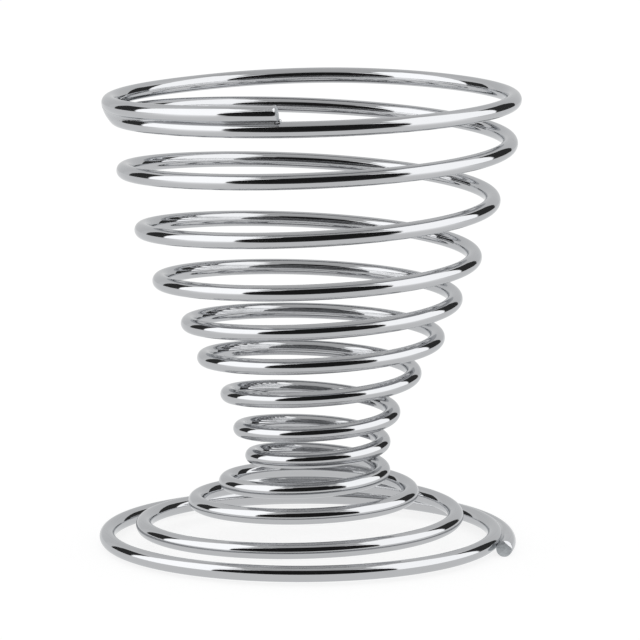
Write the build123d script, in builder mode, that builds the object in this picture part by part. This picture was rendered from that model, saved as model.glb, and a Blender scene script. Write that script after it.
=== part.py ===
"""Spiral egg holder.

One round steel wire is wound as a double cone: a wide foot that lies on the table, a narrow
waist, and a cup whose turns widen up to the rim. Each end of the wire is welded to the turn
beside it. The wire is a spring, so it is divided where its turns move on each other: the foot,
the flare, the stiff waist, five cup turns and the rim, with a hairline gap between them.

Places along the wire are counted in turns. A whole number of turns lies at +X, and the wire
climbs anticlockwise, seen from above. Z = 0 is the table.
"""
import os
from math import ceil, cos, sin, sqrt, tau

from build123d import *

os.makedirs("parts", exist_ok=True)

# Driving sizes. Radii and heights are those of the wire's centre line.
wire_diameter = 2.0
foot_radius = 26.05
waist_radius = 7.6
rim_radius = 25.3
waist_height = 10.85
rim_height = 56.1
foot_flat_depth = 0.5
strand_gap = 0.45
turn_gap = 0.3

# The weld beads between a wire end and the strand beside it
weld_bead_radius = 0.75
weld_bead_rounding = 0.35
rim_weld_length = 2.6
foot_weld_length = 4.0

# Places along the wire, in turns
whole_turn = 1
wire_start_turns = -0.05
stack_start_turns = 13.5
wire_end_turns = 13.73
foot_cut_turns, flare_cut_turns, waist_cut_turns, rim_cut_turns = 1.73, 2.73, 6.73, 11.73
cup_turns = 5
rim_weld_turns = 13.69
foot_weld_turns = 0.02

# From the foot's second half turn to the waist, one entry each half turn:
# how far the radius is from the waist's to the foot's, and how far the wire has climbed.
foot_radius_shares = (1.0, 0.84, 0.75, 0.56, 0.39, 0.255, 0.18, 0.07, 0.0)
foot_climb_shares = (0.01, 0.045, 0.135, 0.285, 0.43, 0.565, 0.675, 0.83, 1.0)

# From the waist to just past the rim's end, one entry each half turn
cup_radius_shares = (
    0.065, 0.085, 0.135, 0.175, 0.285, 0.34, 0.45, 0.455, 0.575, 0.655,
    0.71, 0.78, 0.84, 0.905, 0.96, 0.995, 0.985, 1.005, 0.99,
)
cup_climb_shares = (
    0.038, 0.077, 0.122, 0.175, 0.231, 0.278, 0.333, 0.375, 0.441, 0.495,
    0.56, 0.637, 0.719, 0.803, 0.879, 0.953, 1.0, 1.008, 1.06,
)

wire_radius = wire_diameter / 2
strand_step = wire_diameter + strand_gap
ring_height = wire_radius - foot_flat_depth

radii = [waist_radius + share * (foot_radius - waist_radius) for share in foot_radius_shares]
radii += [waist_radius + share * (rim_radius - waist_radius) for share in cup_radius_shares]
heights = [ring_height + share * (waist_height - ring_height) for share in foot_climb_shares]
heights += [waist_height + share * (rim_height - waist_height) for share in cup_climb_shares]
# The foot starts outside its own second turn, flat on the table.
radii.insert(0, radii[1] + strand_step)
heights.insert(0, ring_height)


def smooth_value(values, turns):
    """A value between the half-turn entries of a table, on a cubic with no kinks."""
    entry = min(max(int(2 * turns), 0), len(values) - 2)
    part = 2 * turns - entry
    before, low, high, after = (
        values[min(max(entry + step, 0), len(values) - 1)] for step in (-1, 0, 1, 2)
    )
    low_slope, high_slope = (high - before) / 2, (after - low) / 2
    rise = high - low
    bend = (low_slope + high_slope - 2 * rise) * part
    return low + part * (low_slope + part * (3 * rise - 2 * low_slope - high_slope + bend))


def radius_at(turns):
    """The centre line's distance from the axis."""
    if turns < 0:
        return radius_at(turns + whole_turn) + strand_step
    return smooth_value(radii, turns)


def height_at(turns):
    """The centre line's height. Past stack_start_turns the rim lies on the strand below it."""
    if turns > stack_start_turns:
        return height_at(turns - whole_turn) + strand_step
    if turns < 0:
        return ring_height
    return smooth_value(heights, turns)


def wire_point(turns):
    """A point of the wire's centre line."""
    angle = tau * turns
    return Vector(radius_at(turns) * cos(angle), radius_at(turns) * sin(angle), height_at(turns))


def wire_direction(turns, reach=0.02):
    """The direction in which the wire runs there, towards the rim."""
    return (wire_point(turns + reach) - wire_point(turns - reach)).normalized()


def meeting_point(start, start_direction, end, end_direction):
    """Where two arcs meet that leave start and reach end in the given directions."""
    chord = end - start
    both = start_direction + end_direction
    a = 2 * (start_direction.dot(end_direction) - 1)
    b = -2 * chord.dot(both)
    c = chord.dot(chord)
    length = (-b - sqrt(b * b - 4 * a * c)) / (2 * a)
    return (start + end + (start_direction - end_direction) * length) / 2


def centre_line(first, last):
    """The wire's path from one place to another: two tangent arcs to each quarter turn."""
    spans = ceil((last - first) * 4)
    places = [first + (last - first) * span / spans for span in range(spans + 1)]
    with BuildLine() as path:
        for here, there in zip(places, places[1:]):
            start, end = wire_point(here), wire_point(there)
            start_direction, end_direction = wire_direction(here), wire_direction(there)
            middle = meeting_point(start, start_direction, end, end_direction)
            arc = TangentArc(start, middle, tangent=start_direction)
            TangentArc(middle, end, tangent=arc % 1)
    return path.wire()


def clear_of_cut(turns, side):
    """A place half a turn gap before (-1) or after (+1) a cut through the wire."""
    return turns + side * turn_gap / 2 / (tau * radius_at(turns))


def least_gap(first, last, points_per_turn=60):
    """The least space between the strands of one stretch of wire, measured on points."""
    count = int((last - first) * points_per_turn)
    points = [wire_point(first + step / points_per_turn) for step in range(count + 1)]
    apart = points_per_turn // 2
    spaces = [
        (points[j] - points[i]).length
        for i in range(len(points)) for j in range(i + apart, len(points))
    ]
    return min(spaces, default=float("inf")) - wire_diameter


def report(name, piece, first, last):
    """Print a stretch's length, how its volume compares, and its gap to itself."""
    length = centre_line(first, last).length
    share = piece.volume / (length * tau / 2 * wire_radius**2)
    print(f"{name}: {length:.1f} mm of wire, volume share {share:.4f}", end=", ")
    print(f"least gap to itself {least_gap(first, last):.2f} mm")


# The foot: almost two turns, with a flat along its underside where it rests on the table
foot_places = wire_start_turns, clear_of_cut(foot_cut_turns, -1)
foot_path = centre_line(*foot_places)
with BuildPart() as foot_ring:
    with BuildSketch(Plane(origin=foot_path @ 0, z_dir=foot_path % 0)):
        Circle(wire_radius)
    sweep(path=foot_path)
    split(bisect_by=Plane.XY, keep=Keep.TOP)
foot_ring.part.label = "foot_ring"
export_step(foot_ring.part, "parts/foot_ring.step")
report("foot_ring", foot_ring.part, *foot_places)

# The other stretches of wire, from the foot up to the rim
stretches = {
    "flare_turn": (foot_cut_turns, flare_cut_turns),
    "waist_coil": (flare_cut_turns, waist_cut_turns),
}
for number in range(cup_turns):
    stretches[f"cup_turn_{number + 1}"] = (waist_cut_turns + number, waist_cut_turns + number + 1)

for name, (low_cut, high_cut) in stretches.items():
    places = clear_of_cut(low_cut, 1), clear_of_cut(high_cut, -1)
    path = centre_line(*places)
    with BuildPart() as stretch:
        with BuildSketch(Plane(origin=path @ 0, z_dir=path % 0)):
            Circle(wire_radius)
        sweep(path=path)
    stretch.part.label = name
    export_step(stretch.part, f"parts/{name}.step")
    report(name, stretch.part, *places)

# The rim: two turns, the upper one stacked on the lower one at its end
rim_places = clear_of_cut(rim_cut_turns, 1), wire_end_turns
rim_path = centre_line(*rim_places)
with BuildPart() as rim_ring:
    with BuildSketch(Plane(origin=rim_path @ 0, z_dir=rim_path % 0)):
        Circle(wire_radius)
    sweep(path=rim_path)
rim_ring.part.label = "rim_ring"
export_step(rim_ring.part, "parts/rim_ring.step")
report("rim_ring", rim_ring.part, *rim_places)


def bead_plane(upper, lower):
    """The plane between two strands, facing along the wire."""
    return Plane(origin=(wire_point(upper) + wire_point(lower)) / 2, z_dir=wire_direction(upper))


# The weld beads: each fills the groove between a wire end and the strand beside it
with BuildPart() as rim_weld:
    with BuildSketch(bead_plane(rim_weld_turns, rim_weld_turns - whole_turn)):
        Circle(weld_bead_radius)
    extrude(amount=rim_weld_length / 2, both=True)
    fillet(rim_weld.edges().filter_by(GeomType.CIRCLE), weld_bead_rounding)
    add(rim_ring.part, mode=Mode.SUBTRACT)
rim_weld.part.label = "rim_weld"
export_step(rim_weld.part, "parts/rim_weld.step")

with BuildPart() as foot_weld:
    with BuildSketch(bead_plane(foot_weld_turns, foot_weld_turns + whole_turn)):
        Circle(weld_bead_radius)
    extrude(amount=foot_weld_length / 2, both=True)
    fillet(foot_weld.edges().filter_by(GeomType.CIRCLE), weld_bead_rounding)
    add(foot_ring.part, mode=Mode.SUBTRACT)
    split(bisect_by=Plane.XY, keep=Keep.TOP)
foot_weld.part.label = "foot_weld"
export_step(foot_weld.part, "parts/foot_weld.step")
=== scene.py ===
# %% [markdown]
# # Spiral egg holder
# The real thing is one steel wire, two millimetres thick, wound as a double cone and plated with
# bright chrome. It stands on its wide foot, narrows to a waist, and opens into a springy cup. The
# CAD model gives the bodies that move when the cup is pressed. This script gives the wire its
# unbroken, round, mirror-like look around that frame.

# %% Load the frame
from math import acos, atan2, ceil, cos, pi, radians, sin, sqrt, tan, tau

import bmesh
import bpy
from mathutils import Matrix, Vector


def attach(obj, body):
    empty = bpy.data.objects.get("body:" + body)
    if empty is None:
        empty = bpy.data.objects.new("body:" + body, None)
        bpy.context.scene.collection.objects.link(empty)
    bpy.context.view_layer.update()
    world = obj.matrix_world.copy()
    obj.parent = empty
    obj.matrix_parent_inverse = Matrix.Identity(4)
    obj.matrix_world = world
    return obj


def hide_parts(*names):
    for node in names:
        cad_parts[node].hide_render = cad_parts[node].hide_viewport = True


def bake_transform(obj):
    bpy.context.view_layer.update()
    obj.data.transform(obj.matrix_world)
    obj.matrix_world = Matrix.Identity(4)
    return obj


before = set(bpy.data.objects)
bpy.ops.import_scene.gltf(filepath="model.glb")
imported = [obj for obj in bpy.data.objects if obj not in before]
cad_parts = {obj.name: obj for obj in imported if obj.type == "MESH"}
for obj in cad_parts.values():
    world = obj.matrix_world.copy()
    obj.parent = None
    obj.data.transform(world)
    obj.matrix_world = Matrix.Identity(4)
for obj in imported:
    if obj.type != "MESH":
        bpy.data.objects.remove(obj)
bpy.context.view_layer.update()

# %% [markdown]
# ## The camera
# The photograph was taken from far off with a long lens, a little above the rim's height. The
# camera could be placed by eye, but the turns are ellipses whose flatness gives its height above
# them, and the near and far sides of the foot give its distance. The shift moves the frame as the
# photograph's crop does, without turning the camera.

# %% Camera
image_pixels = 640
focal_pixels = 5092
camera_distance = 0.6403
camera_elevation = radians(9.12)
aim_height = 0.0275
aim_pixel_x, aim_pixel_y = 313.3, 324.8
sensor_millimetres = 36

camera_data = bpy.data.cameras.new("photo_camera")
camera_data.sensor_width = sensor_millimetres
camera_data.lens = sensor_millimetres * focal_pixels / image_pixels
camera_data.shift_x = 0.5 - aim_pixel_x / image_pixels
camera_data.shift_y = aim_pixel_y / image_pixels - 0.5
camera = bpy.data.objects.new("photo_camera", camera_data)
bpy.context.collection.objects.link(camera)
towards_camera = Vector((0, -cos(camera_elevation), sin(camera_elevation)))
camera.location = Vector((0, 0, aim_height)) + camera_distance * towards_camera
camera.rotation_euler = (pi / 2 - camera_elevation, 0, 0)
bpy.context.scene.camera = camera
bpy.context.scene.view_settings.view_transform = "Standard"
print("Lens:", round(camera_data.lens, 1), "mm")

# %% [markdown]
# ## The wire's path
# A spiral spring like this is wound on a mandrel, and its turns are never quite even. So the path
# isn't one formula: its radius and height are read every half turn from short tables of shares,
# and a smooth cubic joins them. Places along the wire are counted in turns. A whole number of
# turns lies at +X, and the wire climbs anticlockwise, seen from above.

# %% The wire's sizes and tables
wire_radius = 0.001
foot_start_radius = 0.025
foot_radius = 0.02605
waist_radius = 0.0076
rim_radius = 0.0253
ring_height = 0.0005
waist_height = 0.01085
rim_height = 0.0561

wire_start, wire_end = -0.05, 13.7225

foot_radius_shares = (1.0, 0.83, 0.75, 0.56, 0.39, 0.255, 0.18, 0.06, 0.0)
foot_climb_shares = (0.01, 0.045, 0.135, 0.285, 0.43, 0.565, 0.675, 0.83, 1.0)
cup_radius_shares = (
    0.065, 0.085, 0.135, 0.175, 0.285, 0.34, 0.45, 0.455, 0.575, 0.655,
    0.71, 0.78, 0.84, 0.905, 0.96, 0.957, 0.985, 1.009, 0.99,
)
cup_climb_shares = (
    0.038, 0.077, 0.122, 0.175, 0.231, 0.278, 0.333, 0.375, 0.441, 0.495,
    0.56, 0.637, 0.719, 0.803, 0.879, 0.952, 1.0, 0.991, 1.05,
)

radii = [waist_radius + share * (foot_radius - waist_radius) for share in foot_radius_shares]
radii += [waist_radius + share * (rim_radius - waist_radius) for share in cup_radius_shares]
heights = [ring_height + share * (waist_height - ring_height) for share in foot_climb_shares]
heights += [waist_height + share * (rim_height - waist_height) for share in cup_climb_shares]
radii.insert(0, foot_start_radius)
heights.insert(0, ring_height)
print("Table entries:", len(radii))

# %% [markdown]
# The two ends need closer tables. A spot weld presses hot wire into the strand beside it, so the
# foot's end comes within 1.7 millimetres of its neighbour, middle to middle, though the wire is 2
# thick, and then swings away from it. The rim's last turn rises at the back and sinks on the left,
# onto the strand below.

# %% Closer tables for the welded ends
foot_end_from, foot_end_until, foot_end_step = -0.1, 0.3, 0.05
foot_swings_from = 0.15
foot_end_radii = (0.0255, 0.0251, 0.0245, 0.0244, 0.02465, 0.0251, 0.02545, 0.02565, 0.0258)
foot_end_heights = (0.00035, 0.00035, 0.00038, 0.0004, 0.00044, 0.00048, 0.00052, 0.00055, 0.00058)

rim_end_from, rim_end_step = 13.0, 0.125
rim_end_heights = (0.056, 0.05621, 0.05626, 0.05567, 0.0557, 0.05645, 0.05725)


# %% A point and a direction of the path
def smooth_value(values, place):
    """A value between the entries of a table, on a cubic with no kinks."""
    entry = min(max(int(place), 0), len(values) - 2)
    part = place - entry
    before, low, high, after = (
        values[min(max(entry + step, 0), len(values) - 1)] for step in (-1, 0, 1, 2)
    )
    low_slope, high_slope = (high - before) / 2, (after - low) / 2
    rise = high - low
    bend = (low_slope + high_slope - 2 * rise) * part
    return low + part * (low_slope + part * (3 * rise - 2 * low_slope - high_slope + bend))


def ease(part):
    """From 0 to 1 with a soft start and a soft end."""
    part = min(max(part, 0), 1)
    return part * part * (3 - 2 * part)


def foot_end_value(closer_table, turns, free):
    """What the closer table says beside the foot's weld, and the free value further along."""
    welded = smooth_value(closer_table, (turns - foot_end_from) / foot_end_step)
    swung = ease((turns - foot_swings_from) / (foot_end_until - foot_swings_from))
    return welded + swung * (free - welded)


def radius_at(turns):
    """The centre line's distance from the axis."""
    free = smooth_value(radii, 2 * turns)
    if turns > foot_end_until:
        return free
    return foot_end_value(foot_end_radii, turns, free)


def height_at(turns):
    """The centre line's height."""
    free = smooth_value(heights, 2 * turns)
    if turns < foot_end_until:
        return foot_end_value(foot_end_heights, turns, free)
    if turns > rim_end_from:
        stacked = smooth_value(rim_end_heights, (turns - rim_end_from) / rim_end_step)
        return free + ease((turns - rim_end_from) / rim_end_step) * (stacked - free)
    return free


def wire_point(turns):
    """A point of the centre line."""
    angle = tau * turns
    return Vector((radius_at(turns) * cos(angle), radius_at(turns) * sin(angle), height_at(turns)))


def wire_direction(turns, reach=0.01):
    """The direction in which the wire runs there, towards the rim."""
    return (wire_point(turns + reach) - wire_point(turns - reach)).normalized()


print("Rim's end in metres:", [round(c, 4) for c in wire_point(wire_end)])
print("Foot's weld, strand to strand:", round((wire_point(0) - wire_point(1)).length, 5))

# %% [markdown]
# ## Bending the wire
# The wire could be a curve with a round bevel, but its steps would be uneven and its seams hard to
# hide. A bending machine makes a spring from short arcs, each with its own centre, and bmesh's
# spin does the same: it swings a round section about a centre and leaves the wall behind it. Two
# arcs that meet smoothly reach any point in any direction, so each eighth of a turn gets two.

# %% Arcs of wire
spans_per_turn = 8
steps_per_turn = 192
wire_sides = 36


def meeting_point(start, start_direction, end, end_direction):
    """Where two arcs meet that leave start and reach end in the given directions."""
    chord = end - start
    both = start_direction + end_direction
    a = 2 * (start_direction.dot(end_direction) - 1)
    b = -2 * chord.dot(both)
    c = chord.dot(chord)
    length = (-b - sqrt(b * b - 4 * a * c)) / (2 * a)
    return (start + end + (start_direction - end_direction) * length) / 2


def spin_arc(bm, section, start, direction, end, steps):
    """Swing a section's edges along the arc to end, and give the last edges and direction."""
    chord = end - start
    axis = direction.cross(chord).normalized()
    half_angle = direction.angle(chord)
    centre = start + axis.cross(direction) * chord.length / (2 * sin(half_angle))
    swung = bmesh.ops.spin(
        bm, geom=section, cent=centre, axis=axis, angle=2 * half_angle, steps=steps,
        use_merge=False, use_duplicate=False,
    )
    last = [part for part in swung["geom_last"] if isinstance(part, bmesh.types.BMEdge)]
    return last, Matrix.Rotation(2 * half_angle, 3, axis) @ direction


def bend_wire(bm, first, last, section=None):
    """A round wire along the path, up or down it. Gives both end sections' edges."""
    way = 1 if last > first else -1
    direction = way * wire_direction(first)
    if section is None:
        square_to_path = direction.to_track_quat("Z", "Y").to_matrix().to_4x4()
        ring = bmesh.ops.create_circle(
            bm, segments=wire_sides, radius=wire_radius,
            matrix=Matrix.Translation(wire_point(first)) @ square_to_path,
        )
        section = list({edge for vert in ring["verts"] for edge in vert.link_edges})
    first_section = section
    spans = ceil(abs(last - first) * spans_per_turn)
    places = [first + (last - first) * span / spans for span in range(spans + 1)]
    for here, there in zip(places, places[1:]):
        start, end = wire_point(here), wire_point(there)
        middle = meeting_point(start, direction, end, way * wire_direction(there))
        steps = max(2, round(abs(there - here) * steps_per_turn / 2))
        section, direction = spin_arc(bm, section, start, direction, middle, steps)
        section, direction = spin_arc(bm, section, middle, direction, end, steps)
    return first_section, section


def close_section(bm, section):
    """A flat end face, with an edge that stays sharp beside the smooth wall."""
    bmesh.ops.contextual_create(bm, geom=section)
    for edge in section:
        edge.smooth = False


# %% [markdown]
# ## Which stretch moves with what
# The real wire gives all along its length when an egg is pressed in. The CAD model has a joint at
# each cut, at the front. Each body carries a rigid stretch of wire, which in the cup is half a turn
# at the back. The front half turn across each cut is a piece of its own, attached to no body.

# %% Stretches of wire
foot_cut, flare_cut, waist_cut = 1.73, 2.73, 6.73
cup_turns = 5
cuts = [foot_cut, flare_cut, *[waist_cut + turn for turn in range(cup_turns + 1)]]
bodies = ["foot", "flare", "waist", *[f"cup_{turn}" for turn in range(1, cup_turns + 1)], "rim"]
nodes = {body: f"cup_turn_{body[-1]}" for body in bodies if body.startswith("cup")}
nodes |= {"foot": "foot_ring", "flare": "flare_turn", "waist": "waist_coil", "rim": "rim_ring"}
half_blend = 0.25
print("Bodies:", bodies)

# %% Pieces and their three finishes, whose nodes come later
chrome = bpy.data.materials.new("bright_chrome")
cut_steel = bpy.data.materials.new("sheared_wire_end")
weld_chrome = bpy.data.materials.new("chromed_weld")


def make_piece(bm, name, materials):
    """Turn a bmesh into a smooth-shaded object of that name."""
    bmesh.ops.recalc_face_normals(bm, faces=bm.faces)
    mesh = bpy.data.meshes.new(name)
    bm.to_mesh(mesh)
    bm.free()
    mesh.shade_smooth()
    for material in materials:
        mesh.materials.append(material)
    piece = bpy.data.objects.new(name, mesh)
    bpy.context.collection.objects.link(piece)
    return piece


# %% [markdown]
# ## The sheared ends
# The wire is cut with shears, which leaves a flat, dull face with a rounded rim. The foot's end
# also shows a bright slope on its outer upper edge, where a second cut took off the corner. Each
# end is bent a little too long first. Bisect then cuts it off along a plane, a face closes the
# cut, and bevel rounds the rim, as tumbling does to the real one.

# %% Cutting an end
spare_turns = 0.006
end_turns = 0.03
rim_rounding = 0.00014
same_place = 1e-7
upwards = Vector((0, 0, 1))


def cut_along(bm, point, normal, clear_beyond):
    """Cut a mesh along a plane, and give the new edges. What lies beyond it may be cleared."""
    cut = bmesh.ops.bisect_plane(bm, geom=bm.verts[:] + bm.edges[:] + bm.faces[:], dist=same_place,
                                 plane_co=point, plane_no=normal, clear_outer=clear_beyond)
    return [part for part in cut["geom_cut"] if isinstance(part, bmesh.types.BMEdge)]


def cut_off(bm, point, normal, material_index):
    """Cut away what lies beyond a plane, and close the cut with a face."""
    edges = cut_along(bm, point, normal, clear_beyond=True)
    face = bmesh.ops.contextual_create(bm, geom=edges)["faces"][0]
    face.material_index = material_index
    return face


def round_rim(bm, faces, width):
    """Round the edges of some end faces, and keep the faces themselves flat."""
    rim = list({edge for face in faces for edge in face.edges})
    bmesh.ops.bevel(bm, geom=rim, offset=width, segments=3, profile=0.5, affect="EDGES",
                    material=-1, clamp_overlap=True)


# %% The foot's end
corner_out, corner_up = 0.64, 0.77
foot_face_lean = 0.08
slope_from_middle = 0.00064
slope_out, slope_along = 0.77, 0.64
most_wall_edges = 6

foot_bm = bmesh.new()
foot_end_bent_to = wire_start + end_turns
far_section = bend_wire(foot_bm, wire_start - spare_turns, foot_end_bent_to)[1]
end_point, end_normal = wire_point(wire_start), -wire_direction(wire_start)
sideways = end_normal.cross(upwards).normalized()
if sideways.x < 0:
    sideways.negate()
corner = (corner_out * sideways + corner_up * upwards).normalized()
slope = (slope_out * corner + slope_along * end_normal).normalized()
cut_off(foot_bm, end_point, (end_normal + foot_face_lean * corner).normalized(), 1)
cut_off(foot_bm, end_point + slope_from_middle * corner, slope, 0)
end_faces = [face for face in foot_bm.faces if len(face.edges) > most_wall_edges]
round_rim(foot_bm, end_faces, rim_rounding / 2)
print("Flat faces at the foot's end:", len(end_faces))

# %% [markdown]
# The shears also drag a little metal along, so the rim's end swells to a lip. A few more cuts give
# it rings of points, which are pushed outwards, the more the nearer they are to the face.

# %% The rim's end
rim_face_lean = 0.12
lip_length, lip_swell, lip_steps = 0.0005, 0.07, 5

rim_bm = bmesh.new()
rim_end_bent_to = wire_end - end_turns
near_section = bend_wire(rim_bm, wire_end + spare_turns, rim_end_bent_to)[1]
end_point, end_normal = wire_point(wire_end), wire_direction(wire_end)
slant = (end_normal + rim_face_lean * upwards).normalized()
rim_face = cut_off(rim_bm, end_point, slant, 1)
for step in range(1, lip_steps + 1):
    cut_along(rim_bm, end_point - step / lip_steps * lip_length * slant, slant, clear_beyond=False)
for vert in rim_bm.verts:
    depth = (end_point - vert.co).dot(slant) / lip_length
    if depth < 1:
        from_end = vert.co - end_point
        from_axis = from_end - from_end.dot(end_normal) * end_normal
        vert.co += lip_swell * (1 - depth) ** 2 * from_axis
round_rim(rim_bm, [rim_face], rim_rounding)
print("Points at the rim's end:", len(rim_bm.verts))

# %% The rest of the wire
pieces = {}
starts = [wire_start, *[cut + half_blend for cut in cuts]]
ends = [*[cut - half_blend for cut in cuts], wire_end]
for body, first, last in zip(bodies, starts, ends):
    if body == "foot":
        bm = foot_bm
        close_section(bm, bend_wire(bm, foot_end_bent_to, last, far_section)[1])
    elif body == "rim":
        bm = rim_bm
        close_section(bm, bend_wire(bm, rim_end_bent_to, first, near_section)[1])
    else:
        bm = bmesh.new()
        for section in bend_wire(bm, first, last):
            close_section(bm, section)
    pieces[body] = make_piece(bm, f"wire_{body}", [chrome, cut_steel])
    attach(pieces[body], body)
    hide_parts(nodes[body])

for lower, upper, cut in zip(bodies, bodies[1:], cuts):
    first, last = cut - half_blend, cut + half_blend
    bm = bmesh.new()
    for section in bend_wire(bm, first, last):
        close_section(bm, section)
    piece = make_piece(bm, f"wire_{lower}_to_{upper}", [chrome])
    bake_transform(piece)
    pieces[f"{lower}_to_{upper}"] = piece
print("Wire pieces:", len(pieces))

# %% [markdown]
# ## The welds
# A resistance weld has no heap of filler: the two strands melt together, and the metal fills the
# groove between them with a hollow fillet. It could be a lump laid in the groove, but that would
# leave creases. So each section of the fillet is spun as two arcs that touch both strands, and
# the sections are bridged. The fullness says how far up the strands the fillet comes. On the rim's
# left, where it is fullest, the weld fills the groove and stands a little proud of it.

# %% A section of a fillet
fillet_arc_steps = 10
least_bite = radians(3)
full_reach = radians(58)


def fillet_section(bm, turns, partner, fullness):
    """A closed section that fills both sides of the groove between two strands."""
    here, beside = wire_point(turns), wire_point(partner)
    across = beside - here
    half_gap = across.length / 2
    across.normalize()
    outward = wire_direction(turns).cross(across).normalized()
    least_reach = acos(min(half_gap / wire_radius, 1))
    reach = least_reach + (least_bite + fullness * (full_reach - least_reach))
    arcs = []
    for side in (1, -1):
        out = side * outward
        start = bm.verts.new(here + wire_radius * (cos(reach) * across + sin(reach) * out))
        swung = bmesh.ops.spin(
            bm, geom=[start], cent=(here + beside) / 2 + out * half_gap * tan(reach),
            axis=across.cross(out), angle=pi - 2 * reach, steps=fillet_arc_steps,
            use_merge=False, use_duplicate=False,
        )
        arcs.append((start, swung["geom_last"][0]))
    (start, end), (other_start, other_end) = arcs
    bm.edges.new((start, other_start))
    bm.edges.new((end, other_end))
    loop, edge = [], start.link_edges[0]
    vert = start
    while edge not in loop:
        loop.append(edge)
        vert = edge.other_vert(vert)
        edge = next(other for other in vert.link_edges if other is not edge)
    return loop


# %% Weld fillets
fillet_sections = 40
foot_fillet_from, foot_fillet_until = wire_start + 0.012, 0.115
foot_fullness = (0.0, 0.6, 1.0, 1.0, 0.9, 0.5, 0.0)
rim_fillet_from, rim_fillet_until = 13.44, wire_end - 0.002
rim_fullness = (
    0.0, 0.4, 1.2, 1.85, 1.8, 1.2, 0.8, 0.55, 0.35, 0.22, 0.15, 0.17, 0.2, 0.27, 0.35,
)


def weld_fillet(bm, first, last, apart, fullness):
    """A fillet along two strands, apart turns from each other, from one place to another."""
    previous = None
    for step in range(fillet_sections + 1):
        part = step / fillet_sections
        turns = first + part * (last - first)
        filled = smooth_value(fullness, part * (len(fullness) - 1))
        loop = fillet_section(bm, turns, turns + apart, filled)
        if previous is None:
            close_section(bm, loop)
        else:
            bmesh.ops.bridge_loops(bm, edges=previous + loop)
        previous = loop
    close_section(bm, previous)


foot_fillet = bmesh.new()
weld_fillet(foot_fillet, foot_fillet_from, foot_fillet_until, 1, foot_fullness)
rim_fillet = bmesh.new()
weld_fillet(rim_fillet, rim_fillet_from, rim_fillet_until, -1, rim_fullness)
print("Fillet faces:", len(foot_fillet.faces), "at the foot,", len(rim_fillet.faces), "at the rim")

# %% [markdown]
# At the rim the weld shows a small burr too, squeezed out under the wire's end onto the strand
# below, and three specks of spatter. The burr starts as a sphere, which is squashed and leant
# against both strands.

# %% Burr and spatter at the rim's end
burr_place = wire_end + 0.0012
burr_radii = (0.00042, 0.00034, 0.0003)
burr_lean = radians(28)
burr_top = 0.9 * wire_radius
spatter = ((13.7144, 30, 0.00013), (13.7095, 38, 0.0001), (13.7168, 42, 0.00008))

below = wire_point(burr_place - 1) + wire_radius * upwards
above = wire_point(wire_end) - burr_top * upwards
middle = Matrix.Translation((below + above) / 2)
lean = Matrix.Rotation(burr_lean, 4, wire_direction(wire_end).cross(upwards))
flatten = Matrix.Diagonal((*burr_radii, 1))
bmesh.ops.create_icosphere(rim_fillet, subdivisions=4, radius=1, matrix=middle @ lean @ flatten)
for turns, lift, speck_radius in spatter:
    out = Vector((cos(tau * turns), sin(tau * turns), tan(radians(lift)))).normalized()
    bmesh.ops.create_icosphere(rim_fillet, subdivisions=3, radius=speck_radius,
                               matrix=Matrix.Translation(wire_point(turns) + wire_radius * out))

# %% The welds as pieces
welds = (("rim_weld_fillet", rim_fillet, "rim"), ("foot_weld_fillet", foot_fillet, "foot"))
for name, bm, body in welds:
    weld = make_piece(bm, name, [weld_chrome])
    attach(weld, body)
    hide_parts(name.removesuffix("_fillet"))
    pieces[name] = weld
    print(name, "faces:", len(weld.data.polygons))

# %% [markdown]
# ## Marks along the wire
# The wire was drawn through a die, which leaves faint lines along it, and the plating doesn't hide
# them all. A pattern on plain coordinates would cross the wire. So each point keeps its place on
# the wire: the way it faces, as a height and a distance outwards, and how far along it lies.

# %% The wire's own coordinates
whole_turns = range(-1, 15)
search_margin = 0.02
along_per_radian = 0.1
reaches = {body: (first, last) for body, first, last in zip(bodies, starts, ends)}
reaches |= {f"{lower}_to_{upper}": (cut - half_blend, cut + half_blend)
            for lower, upper, cut in zip(bodies, bodies[1:], cuts)}
reaches |= {"rim_weld_fillet": (13.4, 13.75), "foot_weld_fillet": (-0.06, 0.2)}


def place_on_wire(point, first, last):
    """How high, how far outwards and how far along the wire a point lies."""
    turns = atan2(point.y, point.x) / tau
    near = [
        turns + whole for whole in whole_turns
        if first - search_margin < turns + whole < last + search_margin
    ]
    if len(near) > 1:
        near.sort(key=lambda place: (wire_point(place) - point).length_squared)
    angle = tau * near[0]
    height = point.z - height_at(near[0])
    outward = point.x * cos(angle) + point.y * sin(angle) - radius_at(near[0])
    return height / wire_radius, outward / wire_radius, along_per_radian * angle


for name, piece in pieces.items():
    mesh = piece.data
    marks = mesh.attributes.new("wire_place", "FLOAT_VECTOR", "POINT")
    for vert, mark in zip(mesh.vertices, marks.data):
        mark.vector = place_on_wire(vert.co, *reaches[name])
print("Points marked:", sum(len(piece.data.vertices) for piece in pieces.values()))

# %% [markdown]
# ## Chrome
# Bright chrome mirrors the room with little more than half of its light, a touch blue. It isn't
# perfect: the drawn wire's lines and a slight orange peel make the reflections' edges waver, and
# thin plating dulls it in places. One flat colour and roughness would look like plastic film. So
# two noises bend the surface a few micrometres, and a third varies how sharp the mirror is.

# %% Node helpers
def link_all(tree, *pairs):
    """Link each pair of sockets."""
    for source, target in pairs:
        tree.links.new(source, target)


def add_noise(tree, vector, scale, detail=2.0, roughness=0.5, stretch=None):
    """A noise texture, on coordinates that may be stretched first."""
    noise = tree.nodes.new("ShaderNodeTexNoise")
    noise.inputs["Scale"].default_value = scale
    noise.inputs["Detail"].default_value = detail
    noise.inputs["Roughness"].default_value = roughness
    if stretch is None:
        tree.links.new(vector, noise.inputs["Vector"])
    else:
        mapping = tree.nodes.new("ShaderNodeMapping")
        mapping.inputs["Scale"].default_value = stretch
        link_all(tree, (vector, mapping.inputs["Vector"]),
                 (mapping.outputs["Vector"], noise.inputs["Vector"]))
    return noise.outputs["Fac"]


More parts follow.
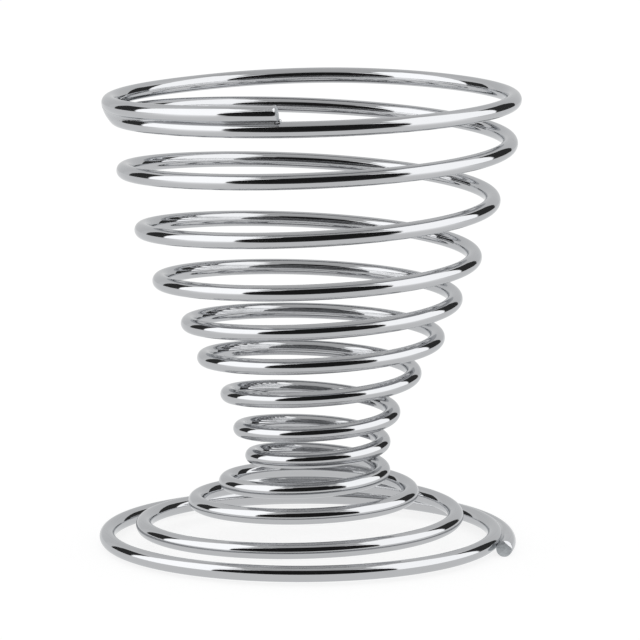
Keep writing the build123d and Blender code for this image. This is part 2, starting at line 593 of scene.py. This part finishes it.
def add_range(tree, value, low, high, to_low, to_high):
    """Turn one range of values into another, softly at both ends."""
    node = tree.nodes.new("ShaderNodeMapRange")
    node.interpolation_type = "SMOOTHSTEP"
    limits = {"From Min": low, "From Max": high, "To Min": to_low, "To Max": to_high}
    for socket, number in limits.items():
        node.inputs[socket].default_value = number
    tree.links.new(value, node.inputs["Value"])
    return node.outputs["Result"]


def add_bump(tree, height, depth, below=None):
    """A bump of so many metres from the height's 0 to its 1."""
    bump = tree.nodes.new("ShaderNodeBump")
    bump.inputs["Strength"].default_value = 1
    bump.inputs["Distance"].default_value = depth
    tree.links.new(height, bump.inputs["Height"])
    if below is not None:
        tree.links.new(below, bump.inputs["Normal"])
    return bump.outputs["Normal"]


def add_tints(tree, value, dark, light):
    """A colour that runs from the first tint to the second as the value does from 0 to 1."""
    mix = tree.nodes.new("ShaderNodeMix")
    mix.data_type = "RGBA"
    colours = [socket for socket in mix.inputs if socket.type == "RGBA"]
    colours[0].default_value, colours[1].default_value = dark, light
    tree.links.new(value, mix.inputs["Factor"])
    return next(socket for socket in mix.outputs if socket.type == "RGBA")


def start_metal(material):
    """A metal's tree, with its shader, its object coordinates and its place on the wire."""
    material.use_nodes = True
    tree = material.node_tree
    shader = tree.nodes["Principled BSDF"]
    shader.inputs["Metallic"].default_value = 1
    coordinates = tree.nodes.new("ShaderNodeTexCoord")
    marks = tree.nodes.new("ShaderNodeAttribute")
    marks.attribute_name = "wire_place"
    return tree, shader, coordinates.outputs["Object"], marks.outputs["Vector"]


# %% Bright chrome
edge_tint = (0.88, 0.89, 0.9, 1)
die_line_depth, orange_peel_depth = 0.0000025, 0.000003

tree, shader, place, along_wire = start_metal(chrome)
shader.inputs["Specular Tint"].default_value = edge_tint
die_lines = add_noise(tree, along_wire, 5, detail=3, roughness=0.6, stretch=(1, 1, 0.35))
orange_peel = add_noise(tree, place, 700, detail=2)
dull_patches = add_noise(tree, place, 260, detail=4, roughness=0.6)
surface = add_bump(tree, die_lines, die_line_depth)
surface = add_bump(tree, orange_peel, orange_peel_depth, surface)
link_all(
    tree,
    (surface, shader.inputs["Normal"]),
    (add_range(tree, dull_patches, 0.35, 0.75, 0.035, 0.075), shader.inputs["Roughness"]),
    (add_tints(tree, dull_patches, (0.555, 0.562, 0.576, 1), (0.535, 0.542, 0.556, 1)),
     shader.inputs["Base Color"]),
)
print("Nodes of the chrome:", len(tree.nodes))

# %% [markdown]
# ## Sheared steel and plated weld
# The sheared faces are torn rather than polished, so their plating looks grey and dull, with small
# pits. A weld's plating is bright but faintly rippled, where the melted metal froze.

# %% Sheared ends
tear_depth = 0.00005

tree, shader, place, along_wire = start_metal(cut_steel)
tears = add_noise(tree, place, 4200, detail=5, roughness=0.65)
patches = add_noise(tree, place, 1500, detail=2)
surface = add_bump(tree, tears, tear_depth)
link_all(
    tree,
    (surface, shader.inputs["Normal"]),
    (add_range(tree, patches, 0.3, 0.7, 0.38, 0.55), shader.inputs["Roughness"]),
    (add_tints(tree, tears, (0.4, 0.425, 0.445, 1), (0.66, 0.69, 0.71, 1)),
     shader.inputs["Base Color"]),
)
print("Nodes of the sheared ends:", len(tree.nodes))

# %% Plated weld
ripple_depth = 0.00001

tree, shader, place, along_wire = start_metal(weld_chrome)
shader.inputs["Specular Tint"].default_value = edge_tint
ripples = add_noise(tree, place, 1300, detail=3, roughness=0.55)
surface = add_bump(tree, ripples, ripple_depth)
link_all(
    tree,
    (surface, shader.inputs["Normal"]),
    (add_range(tree, ripples, 0.35, 0.7, 0.06, 0.16), shader.inputs["Roughness"]),
    (add_tints(tree, ripples, (0.545, 0.552, 0.565, 1), (0.515, 0.522, 0.536, 1)),
     shader.inputs["Base Color"]),
)
print("Nodes of the weld:", len(tree.nodes))

# %% [markdown]
# ## The studio
# Chrome has hardly a colour of its own: what is seen is the room in it. The photograph's
# reflections show a white tent with a black screen in front, round the camera, a tall white panel
# at each side, and a small dark gap behind each panel. One bright lamp would give one hard spot,
# so the same screens are set up here, seen in reflections only. The world lights the floor, which
# also glows a little, so that the object's shadow on it stays faint.

# %% World
floor_light = 0.83

world = bpy.data.worlds.new("studio")
bpy.context.scene.world = world
world.use_nodes = True
tree = world.node_tree
background = tree.nodes["Background"]
background.inputs["Color"].default_value = (1, 1, 1, 1)
rays = tree.nodes.new("ShaderNodeLightPath")
camera_or_glossy = tree.nodes.new("ShaderNodeMath")
camera_or_glossy.use_clamp = True
seen = tree.nodes.new("ShaderNodeMath")
seen.use_clamp = True
strength = tree.nodes.new("ShaderNodeMapRange")
strength.inputs["To Min"].default_value = floor_light
link_all(tree, (rays.outputs["Is Camera Ray"], camera_or_glossy.inputs[0]),
         (rays.outputs["Is Glossy Ray"], camera_or_glossy.inputs[1]),
         (camera_or_glossy.outputs["Value"], seen.inputs[0]),
         (rays.outputs["Is Transmission Ray"], seen.inputs[1]),
         (seen.outputs["Value"], strength.inputs["Value"]),
         (strength.outputs["Result"], background.inputs["Strength"]))

# %% Floor
floor_colour = 0.3
floor_glow, floor_glow_for_camera = 0.5, 0.775
floor_radius = 3
floor_level = height_at(wire_start) - wire_radius

floor_material = bpy.data.materials.new("studio_floor")
floor_material.use_nodes = True
tree = floor_material.node_tree
floor_shader = tree.nodes["Principled BSDF"]
floor_shader.inputs["Base Color"].default_value = (floor_colour, floor_colour, floor_colour, 1)
floor_shader.inputs["Roughness"].default_value = 1
floor_shader.inputs["Specular IOR Level"].default_value = 0
floor_shader.inputs["Emission Color"].default_value = (1, 1, 1, 1)
rays = tree.nodes.new("ShaderNodeLightPath")
glow_strength = tree.nodes.new("ShaderNodeMapRange")
glow_strength.inputs["To Min"].default_value = floor_glow
glow_strength.inputs["To Max"].default_value = floor_glow_for_camera
link_all(tree, (rays.outputs["Is Camera Ray"], glow_strength.inputs["Value"]),
         (glow_strength.outputs["Result"], floor_shader.inputs["Emission Strength"]))

bm = bmesh.new()
bmesh.ops.create_circle(bm, cap_ends=True, segments=96, radius=floor_radius,
                        matrix=Matrix.Translation((0, 0, floor_level)))
floor_mesh = bpy.data.meshes.new("studio_floor")
bm.to_mesh(floor_mesh)
bm.free()
floor_mesh.materials.append(floor_material)
floor = bpy.data.objects.new("studio_floor", floor_mesh)
bpy.context.collection.objects.link(floor)
print("Floor's height in metres:", round(floor_level, 5))


# %% Cards that only reflections see
def glow_material(name):
    """A material that only glows, with its tree and its glow node."""
    material = bpy.data.materials.new(name)
    material.use_nodes = True
    tree = material.node_tree
    tree.nodes.remove(tree.nodes["Principled BSDF"])
    glow = tree.nodes.new("ShaderNodeEmission")
    tree.links.new(glow.outputs["Emission"], tree.nodes["Material Output"].inputs["Surface"])
    return material, tree, glow


def hang_card(name, material, centre, size, turn=0.0, tilt=90.0):
    """A flat card. At no turn and a tilt of 90 degrees it stands facing the camera."""
    bm = bmesh.new()
    bm.loops.layers.uv.verify()
    place = (Matrix.Translation(centre) @ Matrix.Rotation(radians(turn), 4, "Z")
             @ Matrix.Rotation(radians(tilt), 4, "X") @ Matrix.Diagonal((*size, 1, 1)))
    bmesh.ops.create_grid(bm, x_segments=1, y_segments=1, size=0.5, matrix=place, calc_uvs=True)
    mesh = bpy.data.meshes.new(name)
    bm.to_mesh(mesh)
    bm.free()
    mesh.materials.append(material)
    card = bpy.data.objects.new(name, mesh)
    card.visible_camera = card.visible_diffuse = card.visible_shadow = False
    card.visible_transmission = False
    bpy.context.collection.objects.link(card)


def vector_math(tree, operation, vector, other=None):
    """What an operation makes of a vector: another vector, or its length."""
    node = tree.nodes.new("ShaderNodeVectorMath")
    node.operation = operation
    tree.links.new(vector, node.inputs[0])
    if other is not None:
        node.inputs[1].default_value = other
    return node.outputs["Value" if operation == "LENGTH" else "Vector"]


def studio_card(name, brightness, centre, size, turn=0.0, tilt=90.0, corner=0.02, soft=0.01):
    """A card of one brightness, with round corners and soft edges."""
    material, tree, glow = glow_material(name)
    glow.inputs["Strength"].default_value = brightness
    card_map = tree.nodes.new("ShaderNodeTexCoord").outputs["UV"]
    place = vector_math(tree, "SUBTRACT", card_map, (0.5, 0.5, 0))
    place = vector_math(tree, "MULTIPLY", vector_math(tree, "ABSOLUTE", place), (*size, 0))
    inner = (size[0] / 2 - corner, size[1] / 2 - corner, 0)
    place = vector_math(tree, "MAXIMUM", vector_math(tree, "SUBTRACT", place, inner), (0, 0, 0))
    edge = add_range(tree, vector_math(tree, "LENGTH", place), corner - soft, corner, 0, 1)
    clear = tree.nodes.new("ShaderNodeBsdfTransparent")
    mix = tree.nodes.new("ShaderNodeMixShader")
    link_all(tree, (edge, mix.inputs[0]), (glow.outputs[0], mix.inputs[1]),
             (clear.outputs[0], mix.inputs[2]),
             (mix.outputs[0], tree.nodes["Material Output"].inputs["Surface"]))
    hang_card(name, material, centre, size, turn, tilt)


# %% Screens, panels and gaps
tent_side = 0.45
tent_front = -0.4
wing_front = tent_front - 0.005

studio_card("black_screen", 0.016, (0.015, tent_front, -0.015), (1.036, 1.17), corner=0.5)
studio_card("left_wing", 1.6, (-0.36, wing_front, 0.22), (0.3, 0.7), soft=0.02)
studio_card("right_wing", 1.5, (0.39, wing_front, 0.22), (0.3, 0.7), soft=0.02)
studio_card("left_panel", 1.74, (-tent_side, -0.1, 0.45), (0.515, 1.1), turn=90)
studio_card("right_panel", 1.62, (tent_side, -0.054, 0.45), (0.568, 1.1), turn=90)
studio_card("left_gap", 0.04, (-tent_side, 0.2985, 0.07), (0.283, 0.54), turn=90, corner=0.04)
studio_card("right_gap", 0.04, (tent_side, 0.44, 0.11), (0.42, 0.62), turn=90, corner=0.04)

# %% The tent behind the cards
behind = 0.02

studio_card("tent_front", 0.55, (0, tent_front - behind, 0.35), (1.0, 1.4))
studio_card("tent_left", 0.8, (-tent_side - behind, 0.15, 0.5), (1.0, 1.2), turn=90)
studio_card("tent_right", 0.8, (tent_side + behind, 0.16, 0.5), (0.98, 1.2), turn=90)
studio_card("tent_back", 0.75, (0, 0.65, 0.5), (1.4, 1.5))
studio_card("tent_roof", 0.62, (0, 0.1, 1.02), (1.2, 1.3), tilt=0)
studio_card("back_light", 0.74, (0, 0.6, 0.12), (0.4, 0.36), corner=0.1, soft=0.1)

# %% [markdown]
# The table is white near the object, with painted light from the panels towards the sides, and a
# painted shadow of the black screen from a hand's length in front. A glowing card on the floor gives
# that to reflections, by how far in front and how far to the side it lies.

# %% The table, as reflections see it
# Painted light from the side panels and a painted shadow of the black screen in front, glowing on a
# card.
table_white, painted_panel_light = 0.86, 0.62
painted_shadow_from, painted_shadow_until = 0.125, 0.145
above_floor = 0.0001


def add_math(tree, operation, first, second):
    """What an operation makes of two values, each a number or a socket."""
    node = tree.nodes.new("ShaderNodeMath")
    node.operation = operation
    for socket, value in zip(node.inputs, (first, second)):
        if isinstance(value, (int, float)):
            socket.default_value = value
        else:
            tree.links.new(value, socket)
    return node.outputs["Value"]


material, tree, glow = glow_material("table_glow")
split = tree.nodes.new("ShaderNodeSeparateXYZ")
tree.links.new(tree.nodes.new("ShaderNodeTexCoord").outputs["Object"], split.inputs[0])
to_the_side = add_math(tree, "ABSOLUTE", split.outputs["X"], 0)
in_front = add_math(tree, "MAXIMUM", add_math(tree, "MULTIPLY", split.outputs["Y"], -1), 0.001)
# Painted light from the panels: more of it further to the side and further forward.
beside_panels = add_range(tree, split.outputs["Y"], -0.08, 0.08, painted_panel_light, 0)
far_out = add_range(tree, to_the_side, 0.02, 0.3, 0, 1)
white_and_painted_side_light = add_math(tree, "ADD", add_math(tree, "MULTIPLY", far_out, beside_panels), table_white)
# Painted shadow of the black screen: from a hand's length in front, the table goes dark in a wedge.
front_white_and_painted_shadow = add_range(tree, in_front, painted_shadow_from, painted_shadow_until, 0.85, 0.03)
in_the_dark = add_range(tree, add_math(tree, "DIVIDE", to_the_side, in_front), 0.95, 1.3, 1, 0)
table_glow = tree.nodes.new("ShaderNodeMix")
link_all(tree, (in_the_dark, table_glow.inputs["Factor"]), (white_and_painted_side_light, table_glow.inputs["A"]),
         (front_white_and_painted_shadow, table_glow.inputs["B"]), (table_glow.outputs["Result"], glow.inputs["Strength"]))
hang_card("table_glow", material, (0, 0, floor_level + above_floor), (3, 3), tilt=0)
print("Nodes of the table's glow:", len(tree.nodes))
